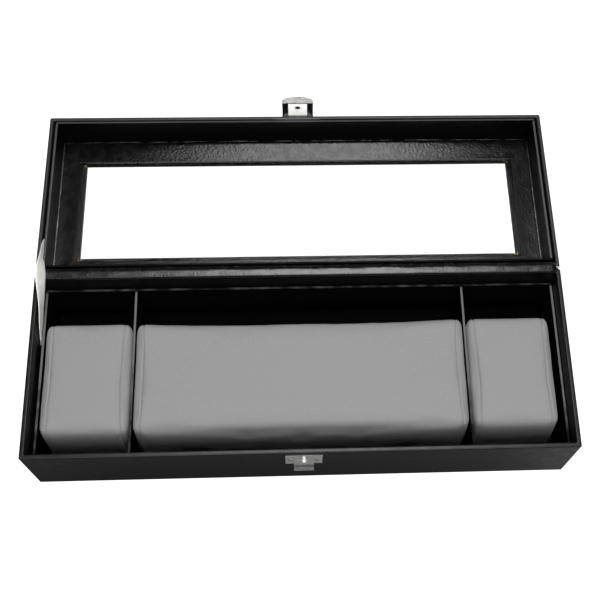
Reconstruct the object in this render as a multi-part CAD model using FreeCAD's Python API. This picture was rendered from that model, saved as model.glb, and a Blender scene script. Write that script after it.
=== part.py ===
import FreeCAD, Part
import os
import math

# Frame: origin under the middle of the box, X to the right, minus Y to the front, Z up.
# Lengths are in millimetres. The lid is built shut and then turned back to its open rest.

# Overall sizes
width = 300.0
depth = 106.5
base_height = 49.0
lid_height = 26.0
open_angle = 182.0

# Sheet and board thicknesses
leather = 0.5
felt = 0.8
base_board = 1.8
floor_board = 2.2
tray_board = 1.3
lid_board = 1.3
lid_panel_board = 1.5
liner_board = 1.3
glass = 1.2

# Rounding of the wrapped edges
corner_round = 1.2
inner_corner_round = 0.6
rim_round = 0.9
top_round = 1.2

# Hinge line
close_gap = 1.2
hinge_offset = 0.6
rod_radius = 0.6
rod_air = 0.2
rod_end_inset = 0.5

# Inside of the box
base_turn_in = 19.0
tray_below_rim = 11.5
tray_gap_left = 1.6
tray_gap_right = 0.4
tray_gap_ends = 1.0
left_room = 49.3
right_room = 51.5

# Pillows
pillow_air = 0.5
right_pillow_gap = 3.2
pillow_depth = 71.6
pillow_forward = 6.2
pillow_above_tray = 3.5
pillow_corner = 8.0
# Share of the height, and how far the front and back are drawn in there; the ends by less
pillow_levels = ((0.0, 2.4), (0.08, 0.5), (0.25, 0.0), (0.7, 1.8), (0.93, 3.6), (1.0, 7.0))
pillow_end_share = 0.5
core_inset = 5.0
core_below_top = 5.0
core_corner = 4.0

# Inside of the lid
lid_turn_in = 20.0
lid_inner_depth = 21.0
liner_below_rim = 0.8
groove_sides = 1.2
groove_front = 0.2
groove_back = 2.4
# Width of the lid's face left round the window
window_side = 19.25
window_front = 19.45
window_back = 21.45
window_turn_in = 6.0
turn_in_slit = 1.3
liner_reveal = 2.6
liner_reveal_front = 0.2

# Ribbon
ribbon_thick = 0.3
ribbon_wide = 10.0
ribbon_air = 0.15
ribbon_reach = 31.5
ribbon_forward = 5.35
ribbon_rise = 12.4
ribbon_sag_base = 20.0
ribbon_sag_lid = 24.0
ribbon_lower_lean = 3.8
ribbon_upper_lean = 1.5
ribbon_pieces = 24
# Shares of the half run: where it stands highest, and where its lower edge starts to lean in
ribbon_peak = 0.15
ribbon_lean_base = 0.78
ribbon_lean_lid = 0.52

# Catch on the box front
plate = 0.8
catch_width = 20.0
catch_tall = 14.5
catch_below_rim = 3.0
tab_width = 10.8
tab_tall = 4.8
ledge_out = 3.6
ledge_thick = 1.2
ridge_radius = 0.4
rib_wide = 0.5
rib_high = 0.4
stud_below_rim = 4.6
stud_radius = 1.0
stud_head_radius = 1.45
stud_out = 4.2
rivet_radius = 0.8
rivet_head_radius = 1.4
rivet_head = 0.3
rivet_air = 0.05
catch_rivet_x = 7.2

# Hasp on the lid front
hasp_width = 18.7
hasp_drop = 11.0
hasp_shoulder = 3.0
hasp_in = 1.4
hasp_side_out = 3.4
hasp_mid_out = 5.8
hasp_wall = 0.7
hasp_lip = 0.5
spring_width = 11.4
spring_thick = 0.6
spring_in = 1.5
stud_air = 0.3
bracket_width = 19.0
bracket_tall = 12.0
bracket_above_rim = 3.3
bracket_round = 1.5
bracket_rivet_x = 5.5
bracket_rivet_up = 12.0
dome_head = 0.7
pin_radius = 0.6
pin_out = 2.6
pin_up = 5.2
pin_fit = 0.02
pin_running = 0.06
knuckle_radius = 1.5
knuckle_inner_x = 5.0
knuckle_air = 0.3

# Sizes that follow from the ones above
half_width = width / 2
half_depth = depth / 2
base_wall = base_board + 2 * leather
lid_wall = lid_board + 2 * leather
floor_top = felt + floor_board
tray_floor_top = floor_top + tray_board
tray_top = base_height - tray_below_rim
tray_left = -half_width + base_wall + tray_gap_left
tray_right = half_width - base_wall - tray_gap_right
tray_half_depth = half_depth - base_wall - tray_gap_ends
divider_left_x = tray_left + 1.5 * tray_board + left_room
divider_right_x = tray_right - 1.5 * tray_board - right_room
pillow_height = tray_top + pillow_above_tray - tray_floor_top
lid_rim = base_height + close_gap
panel_low = lid_height - leather - lid_panel_board
liner_half_width = half_width - lid_wall - groove_sides
liner_front = -half_depth + lid_wall + groove_front
liner_back = half_depth - lid_wall - groove_back
liner_wall_top = lid_inner_depth
liner_panel_top = liner_wall_top + liner_board
glass_top = liner_panel_top + glass
axis_y = half_depth + hinge_offset
axis_z = base_height + close_gap / 2
stud_z = base_height - stud_below_rim
catch_top = base_height - catch_below_rim
catch_low = catch_top - catch_tall
catch_rivet_z = (catch_top + catch_low) / 2
tab_low = catch_low - tab_tall
hasp_low = lid_rim - hasp_drop
hasp_top = lid_rim + hasp_shoulder
pin_z = lid_rim + pin_up
along_x = FreeCAD.Vector(1, 0, 0)
along_front = FreeCAD.Vector(0, -1, 0)


def block(x0, x1, y0, y1, z0, z1):
    return Part.makeBox(x1 - x0, y1 - y0, z1 - z0, FreeCAD.Vector(x0, y0, z0))


def front_block(x0, x1, out0, out1, z0, z1):
    # Box in front of the front face, measured outwards from it.
    return block(x0, x1, -half_depth - out1, -half_depth - out0, z0, z1)


def front_cylinder(radius, x, z, out0, out1):
    # Cylinder that points forwards, measured outwards from the front face.
    start = FreeCAD.Vector(x, -half_depth - out0, z)
    return Part.makeCylinder(radius, out1 - out0, start, along_front)


def x_cylinder(radius, x0, x1, y, z):
    return Part.makeCylinder(radius, x1 - x0, FreeCAD.Vector(x0, y, z), along_x)


def is_upright(edge):
    ends = [vertex.Point for vertex in edge.Vertexes]
    return len(ends) == 2 and abs(ends[0].x - ends[1].x) + abs(ends[0].y - ends[1].y) < 1e-6


def is_at_height(edge, z):
    return all(abs(vertex.Point.z - z) < 1e-6 for vertex in edge.Vertexes)


def round_at_height(shape, z, radius):
    return shape.makeFillet(radius, [edge for edge in shape.Edges if is_at_height(edge, z)])


def prism(inset, z0, z1, corner=0.0):
    # The box's outline moved in by inset, from z0 to z1.
    x = half_width - inset
    y = half_depth - inset
    shape = block(-x, x, -y, y, z0, z1)
    if corner > 0:
        shape = shape.makeFillet(corner, [edge for edge in shape.Edges if is_upright(edge)])
    return shape


def lid_prism(inset, z0, z1, corner=0.0):
    # The same outline, with heights measured up from the rim of the shut lid.
    return prism(inset, lid_rim + z0, lid_rim + z1, corner)


def window_hole(extra, extra_front, z0, z1):
    # Hole through the lid's face, wider by extra at the sides and back and by extra_front in front.
    x = half_width - window_side + extra
    front = -half_depth + window_front - extra_front
    back = half_depth - window_back + extra
    return block(-x, x, front, back, lid_rim + z0, lid_rim + z1)


def ring_boards(inset, board, z0, z1):
    # Four wall boards: front and back run the full length, the sides stand between them.
    x = half_width - inset
    y = half_depth - inset
    return {
        "front": block(-x, x, -y, -y + board, z0, z1),
        "back": block(-x, x, y - board, y, z0, z1),
        "left": block(-x, -x + board, -y + board, y - board, z0, z1),
        "right": block(x - board, x, -y + board, y - board, z0, z1),
    }


def opened(shape):
    # Turn a shape of the shut lid back about the hinge line to its open rest.
    turned = shape.copy()
    turned.rotate(FreeCAD.Vector(0, axis_y, axis_z), along_x, -open_angle)
    return turned


def catch_holes(air):
    # Holes for the two catch rivets and the stud, through plate, cover and board.
    deep = -leather - base_board - 1
    holes = [front_cylinder(rivet_radius + air, x, catch_rivet_z, deep, 2 * plate) for x in catch_rivets()]
    holes.append(front_cylinder(stud_radius + air, 0, stud_z, deep, 2 * plate))
    return holes


def catch_rivets():
    return [-catch_rivet_x, catch_rivet_x]


def bracket_rivets():
    return [-bracket_rivet_x, bracket_rivet_x]


def bracket_holes(air):
    deep = -leather - lid_board - 1
    z = lid_rim + bracket_rivet_up
    return [front_cylinder(rivet_radius + air, x, z, deep, 2 * plate) for x in bracket_rivets()]


def make_base_boards():
    boards = ring_boards(leather, base_board, felt, base_height - leather)
    boards["front"] = boards["front"].cut(catch_holes(rivet_air))
    return boards


def make_base_leather():
    outer = prism(0, felt, base_height, corner_round)
    ring = outer.cut(prism(base_wall, 0, base_height + 1, inner_corner_round))
    ring = round_at_height(ring, base_height, rim_round)
    ring = ring.cut(prism(leather, 0, base_height - leather).cut(
        prism(leather + base_board, -1, base_height)))
    ring = ring.cut(prism(leather + base_board, 0, base_height - base_turn_in))
    return ring.cut(catch_holes(rivet_air))


def make_base_floor():
    return prism(leather + base_board, felt, floor_top)


def make_base_felt():
    return prism(leather, 0, felt, corner_round)


def make_tray():
    y = tray_half_depth
    inner = y - tray_board
    pieces = {
        "tray_floor": block(tray_left, tray_right, -y, y, floor_top, tray_floor_top),
        "tray_wall_front": block(tray_left, tray_right, -y, -inner, tray_floor_top, tray_top),
        "tray_wall_back": block(tray_left, tray_right, inner, y, tray_floor_top, tray_top),
    }
    left_inner = tray_left + tray_board
    right_inner = tray_right - tray_board
    pieces["tray_wall_left"] = block(tray_left, left_inner, -inner, inner, tray_floor_top, tray_top)
    pieces["tray_wall_right"] = block(right_inner, tray_right, -inner, inner, tray_floor_top, tray_top)
    half = tray_board / 2
    for name, x in (("divider_left", divider_left_x), ("divider_right", divider_right_x)):
        pieces[name] = block(x - half, x + half, -inner, inner, tray_floor_top, tray_top)
    return pieces


def rounded_outline(x0, x1, y0, y1, z, radius):
    # Closed wire of four lines and four quarter circles.
    def point(x, y):
        return FreeCAD.Vector(x, y, z)

    def quarter(cx, cy, angle):
        turns = [math.radians(angle + step) for step in (-45, 0, 45)]
        places = [point(cx + radius * math.cos(turn), cy + radius * math.sin(turn)) for turn in turns]
        return Part.Arc(*places).toShape()

    left, right, front, back = x0 + radius, x1 - radius, y0 + radius, y1 - radius
    edges = [
        Part.makeLine(point(left, y0), point(right, y0)),
        quarter(right, front, 315),
        Part.makeLine(point(x1, front), point(x1, back)),
        quarter(right, back, 45),
        Part.makeLine(point(right, y1), point(left, y1)),
        quarter(left, back, 135),
        Part.makeLine(point(x0, back), point(x0, front)),
        quarter(left, front, 225),
    ]
    return Part.Wire(edges)


def make_pillow(x0, x1):
    # A cover with drawn-in sides and a crowned top over a plain block of foam.
    y0 = -pillow_depth / 2 - pillow_forward
    y1 = pillow_depth / 2 - pillow_forward
    outlines = []
    for share, inset in pillow_levels:
        z = tray_floor_top + share * pillow_height
        end = pillow_end_share * inset
        outlines.append(rounded_outline(x0 + end, x1 - end, y0 + inset, y1 - inset, z, pillow_corner))
    body = Part.makeLoft(outlines, True, False)
    core_top = tray_floor_top + pillow_height - core_below_top
    inset = core_inset
    core = block(x0 + inset, x1 - inset, y0 + inset, y1 - inset, tray_floor_top, core_top)
    core = core.makeFillet(core_corner, [edge for edge in core.Edges if is_upright(edge)])
    return body.cut(core), core


def make_pillows():
    half = tray_board / 2
    edges = {
        "left": (tray_left + tray_board, divider_left_x - half),
        "long": (divider_left_x + half, divider_right_x - half),
        "right": (divider_right_x + half, tray_right - tray_board),
    }
    pieces = {}
    for name, (x0, x1) in edges.items():
        end_gap = right_pillow_gap if name == "right" else pillow_air
        cover, core = make_pillow(x0 + pillow_air, x1 - end_gap)
        pieces["pillow_cover_" + name] = cover
        pieces["pillow_core_" + name] = core
    return pieces


def make_lid_boards():
    boards = ring_boards(leather, lid_board, lid_rim + leather, lid_rim + panel_low)
    boards["front"] = boards["front"].cut(bracket_holes(rivet_air))
    return boards


def make_lid_panel():
    board = lid_prism(leather, panel_low, lid_height - leather)
    return board.cut(window_hole(leather, leather, panel_low - 1, lid_height))


def make_window_turn_in():
    # The cover folded over the window's edge onto the inside of the panel, slit open at the corners.
    low = panel_low - leather
    ring = window_hole(window_turn_in, window_turn_in, low, panel_low)
    ring = ring.cut(window_hole(0, 0, low, panel_low))
    slit = turn_in_slit
    for x in (window_side - half_width, half_width - window_side):
        for y in (window_front - half_depth, half_depth - window_back):
            ring = ring.cut(block(x - slit, x + slit, y - slit, y + slit, lid_rim + low, lid_rim + panel_low))
    return ring


def make_lid_leather():
    shell = lid_prism(0, 0, lid_height, corner_round)
    shell = shell.cut(lid_prism(lid_wall, -1, lid_turn_in, inner_corner_round))
    shell = round_at_height(shell, lid_rim, rim_round)
    shell = round_at_height(shell, lid_rim + lid_height, top_round)
    wall_inside = lid_prism(leather + lid_board, -1, lid_height)
    shell = shell.cut(lid_prism(leather, leather, panel_low).cut(wall_inside))
    shell = shell.cut(lid_prism(leather + lid_board, lid_turn_in, panel_low))
    shell = shell.cut(make_lid_panel())
    shell = shell.cut(window_hole(0, 0, panel_low - 1, lid_height + 1))
    shell = shell.fuse(make_window_turn_in()).removeSplitter()
    return shell.cut(bracket_holes(rivet_air))


def liner_plate(z0, z1):
    x = liner_half_width
    return block(-x, x, liner_front, liner_back, lid_rim + z0, lid_rim + z1)


def make_glass():
    return liner_plate(liner_panel_top, glass_top)


def make_liner():
    x = liner_half_width
    low = lid_rim + liner_below_rim
    top = lid_rim + liner_wall_top
    front = liner_front + liner_board
    back = liner_back - liner_board
    hole = window_hole(liner_reveal, liner_reveal_front, 0, lid_height)
    return {
        "liner_panel": liner_plate(liner_wall_top, liner_panel_top).cut(hole),
        "liner_wall_front": block(-x, x, liner_front, front, low, top),
        "liner_wall_back": block(-x, x, back, liner_back, low, top),
        "liner_wall_left": block(-x, -x + liner_board, front, back, low, top),
        "liner_wall_right": block(x - liner_board, x, front, back, low, top),
    }


def make_hinge_rod():
    return x_cylinder(rod_radius, -half_width + rod_end_inset, half_width - rod_end_inset, axis_y, axis_z)


def make_hinge_strip():
    # One strip of leathercloth: flat on each rim, with a roll over the rod between them.
    x = half_width - base_wall
    inside = rod_radius + rod_air
    outside = inside + leather
    roll = x_cylinder(outside, -x, x, axis_y, axis_z).cut(x_cylinder(inside, -x, x, axis_y, axis_z))
    roll = roll.cut(block(-x, x, axis_y - 2 * outside, axis_y + 2 * outside, axis_z - 2 * outside, axis_z))
    flat_start = half_depth - base_wall + rim_round / 2
    base_flat = block(-x, x, flat_start, axis_y - inside, base_height, base_height + leather)
    base_leg = block(-x, x, axis_y - outside, axis_y - inside, base_height, axis_z + leather / 4)
    lid_start = half_depth - lid_wall + rim_round / 2
    lid_flat = opened(block(-x, x, lid_start, axis_y - inside, lid_rim - leather, lid_rim))
    lid_leg = opened(block(-x, x, axis_y - outside, axis_y - inside, axis_z - leather / 4, lid_rim))
    return roll.fuse([base_flat, base_leg, lid_flat, lid_leg]).removeSplitter()


def ribbon_outline(share):
    # Outline across the band; share runs from -1 at the box's end to 1 at the lid's end.
    y = axis_y - ribbon_forward + ribbon_reach * share
    wall = -half_width + base_wall + ribbon_air
    lean_end = ribbon_lean_base if share < 0 else ribbon_lean_lid
    lower = wall + ribbon_lower_lean * max(0.0, 1 - (share / lean_end) ** 2)
    upper = wall + ribbon_upper_lean * math.exp(-((share + 0.45) / 0.35) ** 2)
    sag = ribbon_sag_base if share < ribbon_peak else ribbon_sag_lid
    top = base_height + ribbon_rise - sag * (share - ribbon_peak) ** 2
    low = top - math.sqrt(ribbon_wide ** 2 - (lower - upper) ** 2)
    corners = [(lower, low), (lower + ribbon_thick, low), (upper + ribbon_thick, top), (upper, top)]
    points = [FreeCAD.Vector(x, y, z) for x, z in corners]
    return Part.makePolygon(points + points[:1])


def make_ribbon():
    # A band on edge: out of the box's left gap, leaning over the hinge and into the lid's groove.
    shares = [2 * number / ribbon_pieces - 1 for number in range(ribbon_pieces + 1)]
    return Part.makeLoft([ribbon_outline(share) for share in shares], True, True)


def make_catch():
    half = catch_width / 2
    tab = tab_width / 2
    body = front_block(-half, half, 0, plate, catch_low, catch_top)
    body = body.fuse(front_block(-tab, tab, 0, plate, tab_low, catch_low))
    body = body.fuse(front_block(-tab, tab, 0, ledge_out, tab_low, tab_low + ledge_thick))
    for x0, x1 in ((-tab, rib_wide - tab), (tab - rib_wide, tab)):
        body = body.fuse(front_block(x0, x1, 0, plate + rib_high, tab_low, catch_top))
    ridge_y = -half_depth - 0.6 * ledge_out
    body = body.fuse(x_cylinder(ridge_radius, -tab, tab, ridge_y, tab_low + ledge_thick))
    return body.cut(catch_holes(rivet_air)).removeSplitter()


def make_catch_stud():
    shank = front_cylinder(stud_radius, 0, stud_z, -leather - base_board, plate)
    ball_out = stud_out - stud_head_radius
    neck = front_cylinder(stud_radius, 0, stud_z, plate, ball_out)
    ball = Part.makeSphere(stud_head_radius, FreeCAD.Vector(0, -half_depth - ball_out, stud_z))
    return shank.fuse([neck, ball]).removeSplitter()


def make_rivet(x, z, board, head):
    shank = front_cylinder(rivet_radius, x, z, -leather - board, plate)
    cap = front_cylinder(rivet_head_radius, x, z, plate, plate + head)
    rim = [edge for edge in cap.Edges if abs(edge.CenterOfMass.y + half_depth + plate + head) < 1e-6]
    cap = cap.makeFillet(0.8 * head, rim)
    return shank.fuse(cap).removeSplitter()


def make_catch_rivets():
    return Part.makeCompound([make_rivet(x, catch_rivet_z, base_board, rivet_head) for x in catch_rivets()])


def make_bracket_rivets():
    z = lid_rim + bracket_rivet_up
    return Part.makeCompound([make_rivet(x, z, lid_board, dome_head) for x in bracket_rivets()])


def make_bracket():
    half = bracket_width / 2
    low = lid_rim + bracket_above_rim
    body = front_block(-half, half, 0, plate, low, low + bracket_tall)
    top_edges = [edge for edge in body.Edges if abs(edge.CenterOfMass.z - low - bracket_tall) < 1e-6
                 and abs(abs(edge.CenterOfMass.x) - half) < 1e-6]
    body = body.makeFillet(bracket_round, top_edges)
    y = -half_depth - pin_out
    for x0, x1 in ((-half, -knuckle_inner_x), (knuckle_inner_x, half)):
        body = body.fuse(x_cylinder(knuckle_radius, x0, x1, y, pin_z))
        body = body.fuse(front_block(x0, x1, 0, pin_out, pin_z - knuckle_radius, pin_z + knuckle_radius))
    body = body.cut(x_cylinder(pin_radius + pin_fit, -width, width, y, pin_z))
    return body.cut(bracket_holes(rivet_air)).removeSplitter()


def make_hasp_pin():
    half = bracket_width / 2
    return x_cylinder(pin_radius, -half, half, -half_depth - pin_out, pin_z)


def bowed_prism(half, inner, side, middle, z0, z1):
    # Upright bar with a flat back at inner and a front that bows from side out to middle.
    def point(x, out):
        return FreeCAD.Vector(x, -half_depth - out, z0)

    bow = Part.Arc(point(half, side), point(0, middle), point(-half, side)).toShape()
    edges = [
        Part.makeLine(point(-half, inner), point(half, inner)),
        Part.makeLine(point(half, inner), point(half, side)),
        bow,
        Part.makeLine(point(-half, side), point(-half, inner)),
    ]
    return Part.Face(Part.Wire(edges)).extrude(FreeCAD.Vector(0, 0, z1 - z0))


def make_hasp_shell():
    half = hasp_width / 2
    body = bowed_prism(half, hasp_in, hasp_side_out, hasp_mid_out, hasp_low, hasp_top)
    lip_side = hasp_side_out + hasp_lip
    lip_middle = hasp_mid_out + hasp_lip
    body = body.fuse(bowed_prism(half, hasp_in, lip_side, lip_middle, hasp_low, hasp_low + hasp_wall))
    inside = bowed_prism(half - hasp_wall, hasp_in - 1, hasp_side_out - hasp_wall, hasp_mid_out - hasp_wall,
                         hasp_low + hasp_wall, hasp_top - hasp_wall)
    body = body.cut(inside)
    x = knuckle_inner_x - knuckle_air
    y = -half_depth - pin_out
    web_in = pin_out - knuckle_radius / 2
    web_out = pin_out + knuckle_radius / 2
    body = body.fuse(x_cylinder(knuckle_radius, -x, x, y, pin_z))
    body = body.fuse(front_block(-x, x, web_in, web_out, hasp_top - hasp_wall, pin_z))
    return body.cut(x_cylinder(pin_radius + pin_running, -width, width, y, pin_z)).removeSplitter()


def make_hasp_spring():
    half = spring_width / 2
    out = spring_in + spring_thick
    body = front_block(-half, half, spring_in, out, hasp_low + hasp_wall, hasp_top - hasp_wall)
    return body.cut(front_cylinder(stud_head_radius + stud_air, 0, stud_z, 0, 2 * out))


def base_pieces():
    pieces = {"base_wall_" + side: board for side, board in make_base_boards().items()}
    pieces["base_leather"] = make_base_leather()
    pieces["base_floor"] = make_base_floor()
    pieces["base_felt"] = make_base_felt()
    pieces.update(make_tray())
    pieces.update(make_pillows())
    pieces["hinge_rod"] = make_hinge_rod()
    pieces["hinge_strip"] = make_hinge_strip()
    pieces["lid_ribbon"] = make_ribbon()
    pieces["catch_plate"] = make_catch()
    pieces["catch_stud"] = make_catch_stud()
    pieces["catch_rivets"] = make_catch_rivets()
    return pieces


def lid_pieces():
    pieces = {"lid_wall_" + side: board for side, board in make_lid_boards().items()}
    pieces["lid_panel"] = make_lid_panel()
    pieces["lid_leather"] = make_lid_leather()
    pieces["window_glass"] = make_glass()
    pieces.update(make_liner())
    pieces["hasp_bracket"] = make_bracket()
    pieces["bracket_rivets"] = make_bracket_rivets()
    pieces["hasp_pin"] = make_hasp_pin()
    pieces["hasp_shell"] = make_hasp_shell()
    pieces["hasp_spring"] = make_hasp_spring()
    return {name: opened(shape) for name, shape in pieces.items()}


os.makedirs("parts", exist_ok=True)
nodes = base_pieces()
nodes.update(lid_pieces())
for name, shape in nodes.items():
    shape.exportStep("parts/" + name + ".step")
    print(name, len(shape.Solids), shape.isValid(), round(shape.Volume, 1))
print(len(nodes), "nodes")
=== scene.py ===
import bpy
import bmesh
import math
from mathutils import Matrix, Vector, noise


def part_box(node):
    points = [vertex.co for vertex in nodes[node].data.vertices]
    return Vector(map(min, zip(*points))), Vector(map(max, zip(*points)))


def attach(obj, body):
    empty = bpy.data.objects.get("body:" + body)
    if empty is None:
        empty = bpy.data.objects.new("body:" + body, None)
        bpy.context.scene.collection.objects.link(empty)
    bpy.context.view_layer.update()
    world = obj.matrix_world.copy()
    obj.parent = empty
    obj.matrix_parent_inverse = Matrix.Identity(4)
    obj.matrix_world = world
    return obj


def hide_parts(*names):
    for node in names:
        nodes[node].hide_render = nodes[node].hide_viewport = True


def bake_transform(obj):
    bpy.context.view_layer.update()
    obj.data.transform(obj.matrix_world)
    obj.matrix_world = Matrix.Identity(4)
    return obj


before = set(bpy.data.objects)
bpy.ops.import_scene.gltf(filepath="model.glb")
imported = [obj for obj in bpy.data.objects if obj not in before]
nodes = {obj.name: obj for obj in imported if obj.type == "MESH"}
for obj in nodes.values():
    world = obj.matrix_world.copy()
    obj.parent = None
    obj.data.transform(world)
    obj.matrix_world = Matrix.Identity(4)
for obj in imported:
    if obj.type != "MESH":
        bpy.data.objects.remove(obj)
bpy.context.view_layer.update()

# Lengths are in metres, in the frame of the CAD model. Waves of noise are counted per metre.
mm = 0.001

# Hinge line and the lid's rest angle
axis_y = 53.85 * mm
axis_z = 49.6 * mm
open_angle = math.radians(-182.0)

# Box and lid sizes that the added pieces follow
half_width = 150.0 * mm
half_depth = 53.25 * mm
base_height = 49.0 * mm
base_wall = 2.8 * mm
lid_rim = 50.2 * mm
tray_top = 37.5 * mm
liner_half_width = 146.5 * mm
liner_front = -50.75 * mm
liner_back = 48.55 * mm
liner_board = 1.3 * mm
liner_face = lid_rim + 21.0 * mm
liner_hole_half_width = 133.35 * mm
liner_hole_front = -34.0 * mm
liner_hole_back = 34.4 * mm

# Rounding of the cut edges of card, board and plate
tray_edge_round = 0.35 * mm
liner_edge_round = 0.55 * mm
catch_edge_round = 0.2 * mm

# Covering of the lid's far strip: the height of its bow, where the crest lies across it, the gap under it,
# and how deep and over what length it tucks in past the ends of the lining's window
far_bow = 1.2 * mm
far_crest = 0.2
far_gap = 0.1 * mm
far_tuck = 0.25 * mm
far_tuck_reach = 4 * mm
far_uneven = 0.1 * mm
far_waves = 160
far_thick = 0.3 * mm
far_row_step = 0.05

# Lean of that covering towards the front, with the lid turned back: it grows over the left stretch, fades
# over the right one, and is turned the other way at both ends
far_lean_left = (-127 * mm, -37 * mm)
far_lean_right = (59 * mm, 160 * mm)
far_lean_start = 141 * mm
far_lean_end = 160 * mm
far_lean_ends = -0.5

# Folds of the lining's covering; the corner share is what the far fold keeps of its size at the corners
fold_size = {"front": 1.3 * mm, "back": 0.6 * mm, "left": 1.0 * mm, "right": 1.0 * mm}
fold_step = 1.5 * mm
fold_radius_share = 0.45
fold_uneven_share = 0.3
fold_corner_share = 0.4
fold_waves = 120
fold_wander = 0.4 * mm
fold_wander_waves = 70
mitre_long = 5.5 * mm
mitre_thin = 0.06 * mm
mitre_swell = 0.3 * mm

# Pillows
grid_step = 2.6 * mm
pillow_smaller = 0.5 * mm
end_round = 4.2 * mm
roll_round = 5.0 * mm
top_round = 3.6 * mm
bottom_round = 2.5 * mm
front_lean = 6.0 * mm
back_lean = 1.7 * mm
crown = 1.8 * mm
side_pull = 0.004
cap = 0.7 * mm
cloth_pressure = 3.0
cloth_frames = 20
cloth_shrink = -0.01
cloth_quality = 6
crease_in = 3.6 * mm
crease_deep = 1.3 * mm
crease_shares = (0, 0.3, 0.6, 0.82, 0.92, 1.0)
crease_fade = 24 * mm
crease_wander = 0.3 * mm
crease_waves = 90
wrinkle_all = 0.12 * mm
wrinkle_ends = 0.1 * mm
wrinkle_reach = 9 * mm
wrinkle_waves = 75

# Hinge strip; the first step is also that along the far strip's covering
band_step = 2.5 * mm
strip_reach = 3.35 * mm
strip_ridge = 0.2 * mm
strip_thick = 0.4 * mm
strip_gap = 0.05 * mm
strip_roll = 1.25 * mm
strip_uneven = 0.12 * mm
strip_waves_along = 130
strip_waves_across = 300
strip_step = 0.3 * mm

# Ribbon; the humps are given by their middle and half width as shares of its reach
ribbon_wide = 10.0 * mm
ribbon_thick = 0.3 * mm
ribbon_reach = 31.5 * mm
ribbon_forward = 5.35 * mm
ribbon_rise = 12.4 * mm
ribbon_sag_base = 20.0 * mm
ribbon_sag_lid = 24.0 * mm
ribbon_air = 0.15 * mm
ribbon_lower_lean = 3.8 * mm
ribbon_upper_lean = 1.5 * mm
ribbon_peak = 0.15
ribbon_lean_base = 0.78
ribbon_lean_lid = 0.52
ribbon_curl_lid = 1.7 * mm
ribbon_upper_hump = (-0.45, 0.35)
ribbon_lid_hump = (0.45, 0.3)
ribbon_curl = 0.35 * mm
ribbon_twist = 2.0
ribbon_column_step = 0.125

# The rows are spaced so that none lies within the fold at the hinge line
ribbon_row_step = 0.0714

# Camera, fitted to the photograph's frame
camera_place = Vector((-2.62, -202.49, 590.54)) * mm
camera_target = Vector((26.31, 23.53, 49.0)) * mm
camera_roll = math.radians(5.78)
camera_focal_share = 1046.955 / 600
camera_shift = (-48.416 / 600, 19.235 / 600)
camera_sensor = 36.0
camera_clip = 0.01

# Lights: place, the point each one looks at, size and power
softboxes = {
    "top_softbox": {
        "place": (0.05, 0.28, 0.95), "target": (0.05, 0.28, 0.0), "wide": 0.4, "deep": 0.64, "power": 9.8,
    },
    "front_softbox": {
        "place": (0.0, -0.6, 0.8), "target": (0.0, 0.0, 0.04), "wide": 0.8, "deep": 0.5, "power": 7.6,
    },
}
spot_place = (0.0, -0.6, 0.5)
spot_target = (0.0, 0.163, 0.055)
spot_power = 24.0
spot_angle = math.radians(2.6)
spot_blend = 0.5

# World: strength from left to right below the horizon, the share of it above, and what each side adds
world_left_right = (-0.1, 0.2)
world_strengths = (0.062, 0.09)
world_above = 0.17
world_horizon = 0.05
world_sides = ((0.222, 0.25, 0.45), (-0.21, -0.24, 0.06))
floor_reach = 3.0

# Most of a noise field lies between these two values
noise_low = 0.3
noise_high = 0.7

# Colours and metal finish used more than once
liner_dark = (0.0015, 0.0015, 0.0016)
liner_light = (0.003, 0.003, 0.0032)
brushed_along_x = (0.1, 1.0, 1.0)


def opened(point):
    # Where a point of the shut lid lies with the lid turned back.
    hinge = Vector((0, axis_y, axis_z))
    return Matrix.Rotation(open_angle, 3, "X") @ (Vector(point) - hinge) + hinge


def new_piece(name, mesh, material):
    piece = bpy.data.objects.new(name, mesh)
    bpy.context.scene.collection.objects.link(piece)
    mesh.materials.append(material)
    return piece


def mesh_from(name, points, faces, smooth=True):
    mesh = bpy.data.meshes.new(name)
    mesh.from_pydata([tuple(point) for point in points], [], faces)
    work = bmesh.new()
    work.from_mesh(mesh)
    bmesh.ops.recalc_face_normals(work, faces=work.faces)
    work.to_mesh(mesh)
    work.free()
    for face in mesh.polygons:
        face.use_smooth = smooth
    return mesh


# Material building blocks

def new_material(name, colour, roughness, **sockets):
    material = bpy.data.materials.new(name)
    material.use_nodes = True
    tree = material.node_tree
    shader = tree.nodes["Principled BSDF"]
    shader.inputs["Base Color"].default_value = (*colour, 1.0)
    shader.inputs["Roughness"].default_value = roughness
    for socket, value in sockets.items():
        shader.inputs[socket.replace("_", " ")].default_value = value
    return material, tree, shader


def add_node(tree, kind, inputs=None, **settings):
    node = tree.nodes.new(kind)
    for name, value in settings.items():
        setattr(node, name, value)
    for name, value in (inputs or {}).items():
        if isinstance(value, bpy.types.NodeSocket):
            tree.links.new(value, node.inputs[name])
        else:
            node.inputs[name].default_value = value
    return node


def place_in_object(tree, stretch=(1, 1, 1)):
    source = add_node(tree, "ShaderNodeTexCoord")
    inputs = {"Vector": source.outputs["Object"], "Scale": stretch}
    return add_node(tree, "ShaderNodeMapping", inputs).outputs[0]


def split(tree, vector):
    return add_node(tree, "ShaderNodeSeparateXYZ", {"Vector": vector}).outputs


def noise_field(tree, place, size, detail=2.0, rough=0.5):
    inputs = {"Vector": place, "Scale": 1 / size, "Detail": detail, "Roughness": rough}
    return add_node(tree, "ShaderNodeTexNoise", inputs).outputs["Fac"]


def ramp_colour(tree, field, dark, light, low=noise_low, high=noise_high):
    node = add_node(tree, "ShaderNodeValToRGB", {"Fac": field})
    first, second = node.color_ramp.elements
    first.position, second.position = low, high
    first.color, second.color = (*dark, 1.0), (*light, 1.0)
    return node.outputs["Color"]


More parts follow.
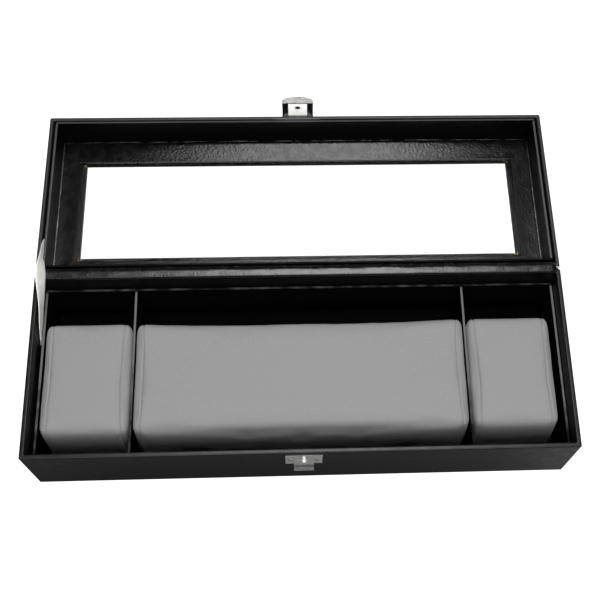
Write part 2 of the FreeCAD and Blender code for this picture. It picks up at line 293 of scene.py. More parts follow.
def spread(tree, field, low, high, new_low=0.0, new_high=1.0):
    inputs = {"Value": field, "From Min": low, "From Max": high, "To Min": new_low, "To Max": new_high}
    return add_node(tree, "ShaderNodeMapRange", inputs).outputs[0]


def vary(tree, field, low, high):
    return spread(tree, field, noise_low, noise_high, low, high)


def calculate(tree, operation, first, second):
    return add_node(tree, "ShaderNodeMath", {0: first, 1: second}, operation=operation).outputs[0]


def multiply(tree, first, second):
    return calculate(tree, "MULTIPLY", first, second)


def add(tree, first, second):
    return calculate(tree, "ADD", first, second)


def mix_colours(tree, share, first, second):
    # The first colour where the share is nought, the second where it is one; sockets go by number here.
    return add_node(tree, "ShaderNodeMix", {0: share, 6: first, 7: second}, data_type="RGBA").outputs[2]


def paint(tree, shader, colour, roughness=None):
    tree.links.new(colour, shader.inputs["Base Color"])
    if roughness is not None:
        tree.links.new(roughness, shader.inputs["Roughness"])


def facing(tree, axis, low, high):
    # Nought to one as the surface's own direction along an axis goes from low to high.
    source = add_node(tree, "ShaderNodeTexCoord")
    return spread(tree, split(tree, source.outputs["Normal"])[axis], low, high)


def facing_up(tree):
    # One on faces that look up with the lid turned back, nought on upright ones.
    return facing(tree, "Z", 0.3, 0.9)


def add_bump(tree, shader, layers):
    # Layers are pairs of a height field and its depth in metres, coarse first.
    normal = None
    for field, deep in layers:
        inputs = {"Height": field, "Strength": 1.0, "Distance": deep}
        if normal is not None:
            inputs["Normal"] = normal
        normal = add_node(tree, "ShaderNodeBump", inputs).outputs["Normal"]
    tree.links.new(normal, shader.inputs["Normal"])


# Materials

def far_slope(tree, place):
    # Height that grows across the lid's far strip in its middle and falls across it at its ends.
    point = split(tree, place)
    left = spread(tree, point["X"], *far_lean_left, far_lean_ends, 1.0)
    right = spread(tree, point["X"], *far_lean_right, 1.0, far_lean_ends)
    wide = far_lean_end - far_lean_start
    from_window = spread(tree, point["Y"], far_lean_start, far_lean_end, 0.0, wide)
    return multiply(tree, from_window, multiply(tree, left, right))


def make_leathercloth(name, dark, light, rough, cell, deep, wave, level, lean=0.0):
    # Coated cloth with a pebbled grain, slight unevenness of the board below and a little wear.
    # Cell and deep are the grain's size and depth, wave is the depth of the unevenness, level the shine,
    # and lean the slope by which the middle of the lid's padded far strip turns towards the front.
    board_wave = 16 * mm
    patch = 5 * mm
    material, tree, shader = new_material(name, dark, rough[0], Specular_IOR_Level=level)
    place = place_in_object(tree)
    inputs = {"Vector": place, "Scale": 1 / cell}
    grain = add_node(tree, "ShaderNodeTexVoronoi", inputs, feature="SMOOTH_F1").outputs["Distance"]
    fine = noise_field(tree, place, cell / 2)
    broad = noise_field(tree, place, board_wave)
    patches = noise_field(tree, place, patch, detail=4.0)
    colour = ramp_colour(tree, patches, dark, light, low=0.35)
    paint(tree, shader, colour, vary(tree, patches, *rough))
    layers = [(broad, wave), (grain, deep), (fine, deep / 3)]
    if lean > 0:
        layers.insert(0, (far_slope(tree, place), lean))
    add_bump(tree, shader, layers)
    return material


def painted_light_towards_rim(tree):
    # Mask for painted light: nought near the foot of the box, one at the height of its rim; only on the
    # front and on the lid.
    foot = 8 * mm
    skin = 2 * mm
    point = split(tree, place_in_object(tree))
    height = spread(tree, point["Z"], foot, base_height)
    front = spread(tree, point["Y"], 2 * skin - half_depth, skin - half_depth)
    lid = spread(tree, point["Y"], axis_y + skin, axis_y + 2 * skin)
    return multiply(tree, height, add(tree, front, lid))


def mix_in(material, mask, mixed_colour):
    # Mixes one more colour into a material where the mask is one.
    tree = material.node_tree
    colour = tree.nodes["Principled BSDF"].inputs["Base Color"]
    before = colour.links[0].from_socket
    tree.links.new(mix_colours(tree, mask(tree), before, (*mixed_colour, 1.0)), colour)


def make_painted_highlight_fold():
    # Creased covering with a painted highlight in pale specks along the fold, strongest near the hinge.
    dark = (0.004, 0.004, 0.004)
    pale = (0.3, 0.3, 0.3)
    hinge_end = 60 * mm
    far_end = 150 * mm
    far_share = 0.45
    material, tree, shader = new_material("painted_highlight_fold", (0.1, 0.1, 0.1), 0.4, Specular_IOR_Level=0.4)
    place = place_in_object(tree)
    specks = noise_field(tree, place, size=1.4 * mm, detail=3.0)
    near = spread(tree, split(tree, place)["Y"], hinge_end, far_end, 1.0, far_share)
    paint(tree, shader, ramp_colour(tree, multiply(tree, specks, near), dark, pale, low=0.2, high=0.65))
    add_bump(tree, shader, [(specks, 0.05 * mm)])
    return material


def make_tray_card():
    # Black card whose cut top edges are lighter: random patches of wear, plus a painted highlight that
    # grows towards the back and fades out in the shade of the back wall.
    dark = (0.0012, 0.0012, 0.0013)
    edge_dark = (0.006, 0.006, 0.006)
    edge_light = (0.11, 0.108, 0.105)
    top_band = (tray_top - 1.0 * mm, tray_top - 0.5 * mm)
    painted_light_stretch = (-45 * mm, 45 * mm)
    shaded_stretch = (46 * mm, 48 * mm)
    shaded_share = 0.05
    material, tree, shader = new_material("tray_card", dark, 0.7, Specular_IOR_Level=0.04)
    place = place_in_object(tree)
    point = split(tree, place)
    grain = noise_field(tree, place, size=0.7 * mm, detail=4.0)
    patches = noise_field(tree, place, size=8.0 * mm)
    edge = multiply(tree, facing_up(tree), spread(tree, point["Z"], *top_band))
    back = spread(tree, point["Y"], *painted_light_stretch)
    shaded = spread(tree, point["Y"], *shaded_stretch, 1.0, shaded_share)
    # Painted highlight that grows towards the back and is held down by the back wall, plus random patches
    # of wear.
    wear_and_light = add(tree, multiply(tree, back, shaded), patches)
    worn_and_lit_edge = ramp_colour(tree, wear_and_light, edge_dark, edge_light, low=0.5, high=1.0)
    colour = mix_colours(tree, edge, (*dark, 1.0), worn_and_lit_edge)
    paint(tree, shader, colour, vary(tree, grain, 0.65, 0.85))
    add_bump(tree, shader, [(grain, 0.03 * mm)])
    return material


def make_suede():
    dark = (0.19, 0.191, 0.191)
    light = (0.242, 0.243, 0.242)
    material, tree, shader = new_material("grey_suede", (0.18, 0.18, 0.18), 0.9, Specular_IOR_Level=0.2,
                                          Sheen_Weight=0.2, Sheen_Roughness=0.4)
    place = place_in_object(tree)
    nap = noise_field(tree, place, size=0.5 * mm, detail=3.0, rough=0.6)
    soft = noise_field(tree, place, size=9.0 * mm)
    paint(tree, shader, ramp_colour(tree, nap, dark, light), vary(tree, nap, 0.82, 0.95))
    add_bump(tree, shader, [(soft, 0.2 * mm), (nap, 0.08 * mm)])
    return material


def make_foam():
    # Pale cell walls; the darker hollows between the cells are painted shade.
    skin = (0.58, 0.57, 0.53)
    hollow = (0.3, 0.29, 0.26)
    cell = 0.8 * mm
    material, tree, shader = new_material("foam", (0.5, 0.49, 0.45), 0.95, Specular_IOR_Level=0.1)
    inputs = {"Vector": place_in_object(tree), "Scale": 1 / cell}
    cells = add_node(tree, "ShaderNodeTexVoronoi", inputs).outputs["Distance"]
    paint(tree, shader, ramp_colour(tree, cells, skin, hollow, low=0.1))
    add_bump(tree, shader, [(cells, 0.2 * mm)])
    return material


def make_felt():
    dark = (0.006, 0.006, 0.006)
    light = (0.03, 0.03, 0.03)
    material, tree, shader = new_material("black_felt", (0.01, 0.01, 0.01), 0.95, Specular_IOR_Level=0.1,
                                          Sheen_Weight=0.2)
    fibres = noise_field(tree, place_in_object(tree), size=0.6 * mm, detail=5.0, rough=0.7)
    paint(tree, shader, ramp_colour(tree, fibres, dark, light))
    add_bump(tree, shader, [(fibres, 0.2 * mm)])
    return material


def make_raw_board():
    dark = (0.22, 0.14, 0.07)
    light = (0.42, 0.29, 0.16)
    along_fibres = (1.0, 0.25, 1.0)
    material, tree, shader = new_material("raw_board", (0.3, 0.2, 0.11), 0.85, Specular_IOR_Level=0.2)
    fibres = noise_field(tree, place_in_object(tree, along_fibres), size=0.8 * mm, detail=5.0, rough=0.6)
    paint(tree, shader, ramp_colour(tree, fibres, dark, light))
    add_bump(tree, shader, [(fibres, 0.05 * mm)])
    return material


def make_metal(name, dark, light, rough, stretch, metallic=1.0):
    # Plated metal with faint polishing lines along the direction in which the noise is stretched.
    material, tree, shader = new_material(name, light, rough[0], Metallic=metallic)
    polish = noise_field(tree, place_in_object(tree, stretch), size=0.25 * mm, detail=3.0)
    cloudy = noise_field(tree, place_in_object(tree), size=2.0 * mm, detail=3.0)
    paint(tree, shader, ramp_colour(tree, cloudy, dark, light), vary(tree, polish, *rough))
    add_bump(tree, shader, [(polish, 0.004 * mm)])
    return material


def make_hasp_metal():
    # Streaked plating; the side turned to the lid is dull, and its dark colour there is painted shade.
    painted_inner_shade = (0.004, 0.004, 0.004)
    dark = (0.6, 0.59, 0.57)
    light = (0.92, 0.91, 0.89)
    dull_rough = 0.6
    plated_rough = 0.22
    material, tree, shader = new_material("hasp_nickel", (0.8, 0.79, 0.77), 0.3, Metallic=0.78)
    outside = facing(tree, "Y", -0.6, -0.2)
    streaks = noise_field(tree, place_in_object(tree, (0.3, 1.0, 1.0)), size=1.2 * mm, detail=3.0)
    plated = ramp_colour(tree, streaks, dark, light, low=0.35, high=0.65)
    colour = mix_colours(tree, outside, (*painted_inner_shade, 1.0), plated)
    paint(tree, shader, colour, spread(tree, outside, 0.0, 1.0, dull_rough, plated_rough))
    return material


def make_spring_plate():
    # Thin pale plate with a satin finish.
    dark = (0.8, 0.79, 0.77)
    light = (0.9, 0.9, 0.88)
    material, tree, shader = new_material("satin_plate", (0.85, 0.85, 0.83), 0.45, Metallic=0.2)
    cloudy = noise_field(tree, place_in_object(tree), size=1.5 * mm, detail=3.0)
    paint(tree, shader, ramp_colour(tree, cloudy, dark, light), vary(tree, cloudy, 0.4, 0.5))
    return material


def make_satin():
    # Woven ribbon: a fine slanting weave and a soft, cloudy shine.
    dark = (0.7, 0.69, 0.665)
    light = (0.84, 0.835, 0.81)
    thread = 2.2 * mm
    material, tree, shader = new_material("pale_satin", (0.8, 0.79, 0.76), 0.38, Sheen_Weight=0.3,
                                          Sheen_Roughness=0.3, Specular_IOR_Level=0.5)
    place = place_in_object(tree)
    inputs = {"Vector": place, "Scale": 1 / thread, "Distortion": 1.5, "Detail": 2.0}
    weave = add_node(tree, "ShaderNodeTexWave", inputs, bands_direction="DIAGONAL").outputs["Fac"]
    soft = noise_field(tree, place, size=4.0 * mm, detail=3.0)
    paint(tree, shader, ramp_colour(tree, soft, dark, light), vary(tree, soft, 0.3, 0.46))
    add_bump(tree, shader, [(weave, 0.02 * mm)])
    return material


def make_clear_glass():
    material, tree, shader = new_material("clear_glass", (0.97, 0.985, 0.975), 0.01, IOR=1.5,
                                          Transmission_Weight=1.0)
    smears = noise_field(tree, place_in_object(tree), size=30 * mm)
    tree.links.new(spread(tree, smears, 0.4, 0.75, 0.0, 0.02), shader.inputs["Roughness"])
    return material


def make_floor_material():
    return new_material("pale_floor", (0.06, 0.06, 0.06), 0.9, Specular_IOR_Level=0.0,
                        Emission_Color=(1.0, 1.0, 1.0, 1.0), Emission_Strength=1.2)[0]


leathercloth = make_leathercloth(
    "black_leathercloth", (0.0025, 0.0025, 0.0027), (0.005, 0.005, 0.0052),
    rough=(0.3, 0.42), cell=1.1 * mm, deep=0.05 * mm, wave=0.15 * mm, level=0.22)
# Painted light: the front and the lid's outside grow lighter towards the rim.
mix_in(leathercloth, painted_light_towards_rim, (0.009, 0.009, 0.0092))
# Painted highlight: faces of the lid that look up with the lid turned back, its rim among them, are
# lighter.
lid_cloth = leathercloth.copy()
lid_cloth.name = "lid_leathercloth"
mix_in(lid_cloth, facing_up, (0.026, 0.026, 0.027))
hinge_cloth = make_leathercloth(
    "hinge_leathercloth", (0.003, 0.003, 0.0032), (0.006, 0.006, 0.0062),
    rough=(0.2, 0.3), cell=1.0 * mm, deep=0.08 * mm, wave=0.3 * mm, level=0.37)
liner_cloth = make_leathercloth(
    "liner_leathercloth", liner_dark, liner_light,
    rough=(0.2, 0.28), cell=1.3 * mm, deep=0.08 * mm, wave=0.15 * mm, level=0.32)
far_liner = make_leathercloth(
    "padded_liner", liner_dark, liner_light,
    rough=(0.22, 0.32), cell=1.2 * mm, deep=0.14 * mm, wave=0.15 * mm, level=0.26, lean=0.15)
side_wall_liner = make_leathercloth(
    "side_liner", liner_dark, liner_light,
    rough=(0.3, 0.4), cell=1.3 * mm, deep=0.08 * mm, wave=0.15 * mm, level=0.2)
# Painted highlight on the top edges of the lining's side walls.
mix_in(side_wall_liner, facing_up, (0.05, 0.05, 0.05))
# A duller copy of the lining for its back and far walls, whose darker colour is painted shade.
dull_liner = make_leathercloth(
    "dull_liner", (0.0008, 0.0008, 0.0009), (0.0016, 0.0016, 0.0017),
    rough=(0.45, 0.6), cell=1.3 * mm, deep=0.06 * mm, wave=0.15 * mm, level=0.06)
# The far wall's lining, with a painted highlight on its top edge.
far_wall_liner = dull_liner.copy()
far_wall_liner.name = "worn_liner"
mix_in(far_wall_liner, facing_up, (0.045, 0.045, 0.045))
painted_highlight_fold = make_painted_highlight_fold()
tray_card = make_tray_card()
suede = make_suede()
foam = make_foam()
felt = make_felt()
raw_board = make_raw_board()
nickel = make_metal(
    "bright_nickel", (0.3, 0.295, 0.285), (0.4, 0.39, 0.375),
    rough=(0.25, 0.4), stretch=brushed_along_x, metallic=0.8)
hasp_nickel = make_hasp_metal()
catch_nickel = make_metal(
    "catch_nickel", (0.46, 0.455, 0.44), (0.58, 0.57, 0.55),
    rough=(0.3, 0.45), stretch=brushed_along_x, metallic=0.7)
# Painted shade: faces of the catch that look up are darker.
mix_in(catch_nickel, facing_up, (0.09, 0.09, 0.09))
stud_nickel = make_metal(
    "stud_nickel", (0.62, 0.615, 0.6), (0.72, 0.715, 0.7),
    rough=(0.35, 0.45), stretch=(1.0, 1.0, 1.0), metallic=0.5)
satin_plate = make_spring_plate()
steel = make_metal(
    "steel_rod", (0.5, 0.5, 0.5), (0.66, 0.66, 0.66),
    rough=(0.2, 0.35), stretch=(0.05, 1.0, 1.0))
satin = make_satin()
clear_glass = make_clear_glass()

slot_materials = {
    "black_leathercloth": leathercloth, "black_liner": liner_cloth, "black_tray_board": tray_card,
    "black_felt": felt, "grey_suede": suede, "foam": foam, "clear_glass": clear_glass,
    "bright_nickel": nickel, "steel_rod": steel, "pale_ribbon": satin, "board": raw_board,
}

# Nodes whose look differs from that of their slot
node_materials = {
    "hasp_shell": hasp_nickel, "hasp_spring": satin_plate, "catch_plate": catch_nickel,
    "catch_stud": stud_nickel, "lid_leather": lid_cloth, "liner_wall_front": far_wall_liner,
    "liner_wall_back": dull_liner, "liner_wall_left": side_wall_liner, "liner_wall_right": side_wall_liner,
}


def dress_nodes():
    for node in nodes.values():
        for number, material in enumerate(node.data.materials):
            node.data.materials[number] = slot_materials[material.name.split(".")[0]]
    for name, material in node_materials.items():
        nodes[name].data.materials[0] = material


def soften_edges(names, wide):
    # Small rounding of cut edges, which catches the light along them.
    for name in names:
        weld = nodes[name].modifiers.new("weld", "WELD")
        weld.merge_threshold = 0.01 * mm
        bevel = nodes[name].modifiers.new("round", "BEVEL")
        bevel.width = wide
        bevel.segments = 3
        bevel.limit_method = "ANGLE"
        nodes[name].modifiers.new("even", "WEIGHTED_NORMAL")


# Shape building blocks

def steps_between(start, end, step):
    count = max(1, round((end - start) / step))
    return [start + (end - start) * number / count for number in range(count + 1)]


def uneven_at(place):
    # Broken noise in three layers, about nought.
    return noise.fractal(place, 1.0, 2.0, 3)


def shell_grid(columns, rows, levels):
    # Points and faces of a box's surface on the given lines, with each point's grid place.
    places = {}
    points = []
    faces = []

    def corner(i, j, k):
        if (i, j, k) not in places:
            places[(i, j, k)] = len(points)
            points.append(Vector((columns[i], rows[j], levels[k])))
        return places[(i, j, k)]

    def add_face(*corners):
        faces.append([corner(*grid_place) for grid_place in corners])

    last_i, last_j, last_k = len(columns) - 1, len(rows) - 1, len(levels) - 1
    for i in range(last_i):
        for j in range(last_j):
            for k in (0, last_k):
                add_face((i, j, k), (i + 1, j, k), (i + 1, j + 1, k), (i, j + 1, k))
    for i in range(last_i):
        for k in range(last_k):
            for j in (0, last_j):
                add_face((i, j, k), (i + 1, j, k), (i + 1, j, k + 1), (i, j, k + 1))
    for j in range(last_j):
        for k in range(last_k):
            for i in (0, last_i):
                add_face((i, j, k), (i, j + 1, k), (i, j + 1, k + 1), (i, j, k + 1))
    return points, faces, places


def band(name, rows, thick, material):
    # A sheet through rows of points, thickened to a closed band.
    wide = len(rows[0])
    points = [point for row in rows for point in row]
    faces = []
    for r in range(len(rows) - 1):
        for c in range(wide - 1):
            first = r * wide + c
            faces.append([first, first + 1, first + wide + 1, first + wide])
    mesh = mesh_from(name, points, faces)
    work = bmesh.new()
    work.from_mesh(mesh)
    bmesh.ops.solidify(work, geom=work.faces[:], thickness=thick)
    bmesh.ops.recalc_face_normals(work, faces=work.faces)
    work.to_mesh(mesh)
    work.free()
    for face in mesh.polygons:
        face.use_smooth = True
    return new_piece(name, mesh, material)


def tube(points, radii, sides=8):
    # A closed round bar through the points, with its own radius at each.
    aslant = Vector((0.3, 0.2, 1.0))
    turns = [2 * math.pi * turn / sides for turn in range(sides)]
    corners = []
    for number, point in enumerate(points):
        ahead = points[min(number + 1, len(points) - 1)] - points[max(number - 1, 0)]
        ahead.normalize()
        side = ahead.cross(aslant).normalized()
        up = side.cross(ahead)
        for turn in turns:
            corners.append(point + radii[number] * (math.cos(turn) * side + math.sin(turn) * up))
    faces = []
    for first in range(0, len(corners) - sides, sides):
        for turn in range(sides):
            after = (turn + 1) % sides
            faces.append([first + turn, first + after, first + sides + after, first + sides + turn])
    faces.append(list(range(sides)))
    faces.append([len(corners) - sides + turn for turn in range(sides)])
    return corners, faces


# Pillows

def rounded(point, low, high):
    # A point of a box's surface, moved onto a box rolled over at front and back and tighter at the ends.
    radii = Vector((end_round, roll_round, top_round if point.z > (low.z + high.z) / 2 else bottom_round))
    inner = Vector([min(max(point[n], low[n] + radii[n]), high[n] - radii[n]) for n in range(3)])
    out = Vector([(point[n] - inner[n]) / radii[n] for n in range(3)])
    if out.length > 0:
        out.normalize()
    return Vector([inner[n] + radii[n] * out[n] for n in range(3)])


def leaned(point, low, high):
    # Front and back lean in towards the top.
    middle = (low + high) / 2
    across = (point.y - middle.y) / (high.y - middle.y)
    height = (point.z - low.z) / (high.z - low.z)
    lean = front_lean if across < 0 else back_lean
    return point - Vector((0, across * lean * height, 0))


def stuffed(point, low, high):
    # Crowned top and sides that pull in between the corners, on the leaning shape.
    middle = (low + high) / 2
    half = (high - low) / 2
    share = Vector([(point[n] - middle[n]) / half[n] for n in range(3)])
    along_x = 1 - share.x ** 2
    along_y = 1 - share.y ** 2
    lifted = max(0.0, share.z)
    pulled = leaned(point, low, high)
    pulled.x -= math.copysign(side_pull * 2 * half.y * along_y * abs(share.x) ** 3, share.x)
    pulled.y -= math.copysign(side_pull * 2 * half.x * along_x * abs(share.y) ** 3, share.y)
    pulled.z += crown * along_x * along_y * lifted ** 2
    return pulled


def inflate(piece, held):
    # Lets the cover swell under pressure, then keeps each point within the cap of its start.
    scene = bpy.context.scene
    start = [vertex.co.copy() for vertex in piece.data.vertices]
    group = piece.vertex_groups.new(name="held")
    group.add(held, 1.0, "REPLACE")
    cloth = piece.modifiers.new("cloth", "CLOTH")
    cloth.settings.vertex_group_mass = "held"
    cloth.settings.use_pressure = True
    cloth.settings.uniform_pressure_force = cloth_pressure
    cloth.settings.effector_weights.gravity = 0
    cloth.settings.shrink_min = cloth_shrink
    cloth.settings.quality = cloth_quality
    for number in range(1, cloth_frames + 1):
        scene.frame_set(number)
    shaped = piece.evaluated_get(bpy.context.evaluated_depsgraph_get()).data
    ends = [vertex.co.copy() for vertex in shaped.vertices]
    piece.modifiers.remove(cloth)
    piece.vertex_groups.remove(group)
    scene.frame_set(1)
    for vertex, first, last in zip(piece.data.vertices, start, ends):
        move = last - first
        if move.length > cap:
            move *= cap / move.length
        vertex.co = first + move


def press_creases(mesh, places, columns, top):
    # The end folds of the wrapped cover: a crease near each end that fades down the front and back.
    normals = [vertex.normal.copy() for vertex in mesh.vertices]
    for (i, j, k), number in places.items():
        if i in columns and k > 0:
            vertex = mesh.vertices[number]
            share = max(0.0, 1 - (top - vertex.co.z) / crease_fade)
            wander = crease_wander * noise.noise(vertex.co * crease_waves)
            vertex.co -= normals[number] * crease_deep * share
            vertex.co.x += wander


def wrinkle(mesh, low, high):
    # Soft unevenness of the cover, strongest towards the ends.
    normals = [vertex.normal.copy() for vertex in mesh.vertices]
    for vertex, normal in zip(mesh.vertices, normals):
        from_end = min(vertex.co.x - low.x, high.x - vertex.co.x)
        strong = wrinkle_all + wrinkle_ends * math.exp(-max(0.0, from_end) / wrinkle_reach)
        vertex.co += normal * strong * uneven_at(vertex.co * wrinkle_waves)


def make_pillow(side):
    body = "pillow_" + side
    cover_node = "pillow_cover_" + side
    low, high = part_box(cover_node)
    shrink = Vector((pillow_smaller, pillow_smaller, 0))
    inside_low = low + shrink
    inside_high = high - shrink - Vector((0, 0, crown))
    near = [inside_low.x + share * crease_in for share in crease_shares]
    far = [inside_high.x - share * crease_in for share in reversed(crease_shares)]
    beside = near[-1] - near[-2]
    between = steps_between(near[-1] + beside, far[0] - beside, grid_step)
    columns = near + between + far
    rows = steps_between(inside_low.y, inside_high.y, grid_step)
    levels = steps_between(inside_low.z, inside_high.z, grid_step)
    points, faces, places = shell_grid(columns, rows, levels)
    points = [stuffed(rounded(point, inside_low, inside_high), inside_low, inside_high) for point in points]
    mesh = mesh_from(cover_node, points, faces)
    piece = new_piece("suede_cover_" + side, mesh, suede)
    held = [number for (i, j, k), number in places.items() if k == 0]
    inflate(piece, held)
    press_creases(mesh, places, (len(near) - 1, len(columns) - len(far)), inside_high.z)
    wrinkle(mesh, low, high)
    for vertex in mesh.vertices:
        vertex.co = [min(max(vertex.co[n], low[n]), high[n]) for n in range(3)]
    finer = piece.modifiers.new("finer", "SUBSURF")
    finer.levels = 1
    finer.render_levels = 1
    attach(piece, body)
    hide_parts(cover_node)


def make_foam_block(side):
    node = "pillow_core_" + side
    low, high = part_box(node)
    columns = steps_between(low.x, high.x, 2 * grid_step)
    rows = steps_between(low.y, high.y, 2 * grid_step)
    levels = steps_between(low.z, high.z, 2 * grid_step)
    points, faces, _ = shell_grid(columns, rows, levels)
    points = [leaned(rounded(point, low, high), low, high) for point in points]
    piece = new_piece("foam_block_" + side, mesh_from(node, points, faces), foam)
    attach(piece, "pillow_" + side)
    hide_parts(node)


# Bands across the hinge

def make_hinge_strip():
    # One strip of leathercloth from rim to rim, rolled over the rod. Past its ridge it falls evenly to the
    # lid; towards the box it stays high and drops at its edge.
    half_length = half_width - base_wall
    foot = base_height + strip_thick + strip_gap
    rows = []
    for x in steps_between(-half_length, half_length, band_step):
        row = []
        for across in steps_between(-strip_reach, strip_reach, strip_step):
            to_lid = max(0.0, across - strip_ridge) / (strip_reach - strip_ridge)
            to_box = max(0.0, strip_ridge - across) / (strip_reach + strip_ridge)
            roll = strip_roll * (1 - to_lid ** 2 - 0.3 * to_box ** 2 - 0.7 * to_box ** 24)
            spot = Vector((x * strip_waves_along, across * strip_waves_across, 0.0))
            uneven = strip_uneven * uneven_at(spot)
            row.append(Vector((x, axis_y + across, foot + roll + uneven)))
        rows.append(row)
    piece = band("hinge_band", rows, strip_thick, hinge_cloth)
    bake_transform(piece)
    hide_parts("hinge_strip")


def hump(share, middle, half_wide):
    return math.exp(-((share - middle) / half_wide) ** 2)


def ribbon_edges(share):
    # Lower and upper edge of the ribbon; share runs from -1 at the box's end to 1 at the lid's end.
    y = axis_y - ribbon_forward + ribbon_reach * share
    wall = -half_width + base_wall + ribbon_air + ribbon_thick / 2
    lean_end = ribbon_lean_base if share < 0 else ribbon_lean_lid
    lower = wall + ribbon_lower_lean * max(0.0, 1 - (share / lean_end) ** 2)
    upper = wall + ribbon_upper_lean * hump(share, *ribbon_upper_hump)
    sag = ribbon_sag_base if share < ribbon_peak else ribbon_sag_lid
    top = base_height + ribbon_rise - sag * (share - ribbon_peak) ** 2
    low = top - math.sqrt(ribbon_wide ** 2 - (lower - upper) ** 2)
    return Vector((lower, y, low)), Vector((upper, y, top))


def make_ribbon():
    # A band on edge that rises out of the box's left gap, leans over the hinge and sinks into the lid's
    # groove, its upper edge curling over there.
    rows = []
    for share in steps_between(-1.0, 1.0, ribbon_row_step):
        lower, upper = ribbon_edges(share)
        free = max(0.0, 1 - share ** 2)
        over_lid = ribbon_curl_lid * hump(share, *ribbon_lid_hump)
        row = []
        for across in steps_between(0.0, 1.0, ribbon_column_step):
            wave = math.sin(math.pi * across + ribbon_twist * share)
            curl = free * ribbon_curl * wave + over_lid * across ** 2
            row.append(lower.lerp(upper, across) + Vector((curl, 0, 0)))
        rows.append(row)
    piece = band("satin_ribbon", rows, ribbon_thick, satin)
    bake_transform(piece)
    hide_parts("lid_ribbon")


# Details of the lid's lining

def far_swell(x):
    # How much of the far strip's padding is left at x: all of it in the middle, none at the corners.
    left = (x - far_lean_left[0]) / (far_lean_left[1] - far_lean_left[0])
    right = (far_lean_right[1] - x) / (far_lean_right[1] - far_lean_right[0])
    share = min(1.0, max(0.0, min(left, right)))
    return share * share * (3 - 2 * share)


def make_liner_folds():
    # The covering bulges a little where the lining's walls meet its panel. The far fold thins out and
    # wanders as the strip beside it does; the folds at the sides get a painted highlight.
    x = liner_half_width - liner_board
    front = liner_front + liner_board
    back = liner_back - liner_board
    ends = {
        "front": ((-x, front), (x, front)),
        "back": ((-x, back), (x, back)),
        "left": ((-x, front), (-x, back)),
        "right": ((x, front), (x, back)),
    }
    for side, (first, last) in ends.items():
        start = Vector((*first, liner_face))
        end = Vector((*last, liner_face))
        count = round((end - start).length / fold_step)
        points = []
        radii = []
        for number in range(count + 1):
            place = start.lerp(end, number / count)
            uneven = uneven_at(Vector((place.x * fold_waves, place.y * fold_waves, 7.0)))
            swell = 1.0
            wander = 0.0
            if side == "front":
                swell = fold_corner_share + (1 - fold_corner_share) * far_swell(place.x)
                along = Vector((place.x * fold_wander_waves, 3.0, 0.0))
                wander = fold_wander * (1 + noise.noise(along))
            points.append(opened(place + Vector((0, wander, 0))))
            radii.append(swell * fold_size[side] * (fold_radius_share + fold_uneven_share * uneven))
        corners, faces = tube(points, radii)
        # The folds at the sides take the painted highlight.
        cover = painted_highlight_fold if side in ("left", "right") else hinge_cloth
        piece = new_piece("liner_fold_" + side, mesh_from("liner_fold_" + side, corners, faces), cover)
        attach(piece, "lid")


def make_far_bow():
    # The covering stands off the board along the lid's far side: it rises steeply from the wall to a crest
    # and sinks in a hollow curve to the window. Past the window's ends its inner edge is tucked in.
    x = liner_half_width - liner_board
    front = liner_front + liner_board
    wide = liner_hole_front - front
    rows = []
    for along in steps_between(-x, x, band_step):
        past_hole = min(1.0, max(0.0, abs(along) - liner_hole_half_width) / far_tuck_reach)
        row = []
        for share in steps_between(0.0, 1.0, far_row_step):
            place = Vector((along, front + share * wide, liner_face))
            uneven = far_uneven * uneven_at(place * far_waves)
            if share < far_crest:
                bow = 1 - (1 - share / far_crest) ** 2
            else:
                bow = (1 - (share - far_crest) / (1 - far_crest)) ** 2
            laid = far_gap - far_tuck * past_hole * share
            rise = laid + far_bow * far_swell(along) * bow + uneven * (1 - share)
            row.append(opened(place - Vector((0, 0, rise))))
        rows.append(row)
    piece = band("liner_far_bow", rows, far_thick, far_liner)
    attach(piece, "lid")


def make_mitre_folds():
    # Overlaps of the covering that run out from the corners of the lining's window, thickest a third of
    # the way along.
    shares = steps_between(0.0, 1.0, 0.1)
    radii = [mitre_thin + mitre_swell * math.sin(math.pi * (0.25 + 0.75 * share)) for share in shares]
    for across, name in ((-1, "left"), (1, "right")):
        for y, away, end in ((liner_hole_front, -1, "front"), (liner_hole_back, 1, "back")):
            corner = Vector((across * liner_hole_half_width, y, liner_face))
            out = Vector((across, away, 0)).normalized()
            points = [opened(corner + out * mitre_long * share) for share in shares]
            title = "mitre_fold_" + name + "_" + end
            corners, faces = tube(points, radii)
            piece = new_piece(title, mesh_from(title, corners, faces), liner_cloth)
            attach(piece, "lid")


# Studio

def make_floor():
    reach = floor_reach
    corners = [(-reach, -reach, 0), (reach, -reach, 0), (reach, reach, 0), (-reach, reach, 0)]
    floor = new_piece("floor", mesh_from("floor", corners, [[0, 1, 2, 3]], False), make_floor_material())
    floor.visible_glossy = False


def add_lamp(name, light, place, target):
    lamp = bpy.data.objects.new(name, light)
    bpy.context.scene.collection.objects.link(lamp)
    lamp.location = place
    lamp.rotation_euler = (Vector(target) - Vector(place)).to_track_quat("-Z", "Y").to_euler()


def add_softbox(name, place, target, wide, deep, power):
    light = bpy.data.lights.new(name, "AREA")
    light.shape = "RECTANGLE"
    light.size = wide
    light.size_y = deep
    light.energy = power
    add_lamp(name, light, place, target)


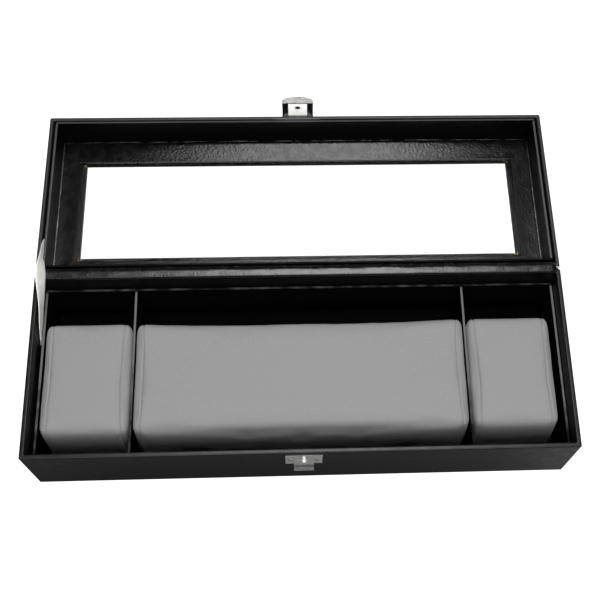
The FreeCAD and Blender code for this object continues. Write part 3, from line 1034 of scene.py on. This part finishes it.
def add_hasp_spot():
    # A narrow beam that picks out the hasp behind the lid's far edge.
    light = bpy.data.lights.new("hasp_spot", "SPOT")
    light.energy = spot_power
    light.spot_size = spot_angle
    light.spot_blend = spot_blend
    add_lamp("hasp_spot", light, spot_place, spot_target)


def make_world():
    # Dim all round, lighter from below the horizon and most so at the sides.
    world = bpy.data.worlds.new("studio")
    bpy.context.scene.world = world
    world.use_nodes = True
    tree = world.node_tree
    source = add_node(tree, "ShaderNodeTexCoord")
    direction = split(tree, source.outputs["Generated"])
    below = spread(tree, direction["Z"], -world_horizon, world_horizon, 1.0, world_above)
    across = spread(tree, direction["X"], *world_left_right, *world_strengths)
    for start, end, more in world_sides:
        across = add(tree, across, spread(tree, direction["X"], start, end, 0.0, more))
    background = tree.nodes["Background"]
    background.inputs["Color"].default_value = (1.0, 1.0, 1.0, 1.0)
    tree.links.new(multiply(tree, below, across), background.inputs["Strength"])


def make_light():
    make_world()
    for name, softbox in softboxes.items():
        add_softbox(name, **softbox)
    add_hasp_spot()
    bpy.context.scene.view_settings.view_transform = "Standard"


def make_camera():
    data = bpy.data.cameras.new("camera")
    data.sensor_width = camera_sensor
    data.lens = camera_focal_share * data.sensor_width
    data.shift_x, data.shift_y = camera_shift
    data.clip_start = camera_clip
    camera = bpy.data.objects.new("camera", data)
    bpy.context.scene.collection.objects.link(camera)
    camera.location = camera_place
    aimed = (camera_target - camera_place).to_track_quat("-Z", "Y").to_matrix()
    camera.rotation_euler = (aimed @ Matrix.Rotation(camera_roll, 3, "Z")).to_euler()
    bpy.context.scene.camera = camera


make_camera()
make_light()
make_floor()
dress_nodes()
tray_names = [name for name in nodes if name.startswith(("tray_", "divider_"))]
liner_names = [name for name in nodes if name.startswith("liner_")]
soften_edges(tray_names, tray_edge_round)
soften_edges(liner_names, liner_edge_round)
soften_edges(["catch_plate"], catch_edge_round)
for side in ("left", "long", "right"):
    make_pillow(side)
    make_foam_block(side)
make_hinge_strip()
make_ribbon()
make_liner_folds()
make_far_bow()
make_mitre_folds()
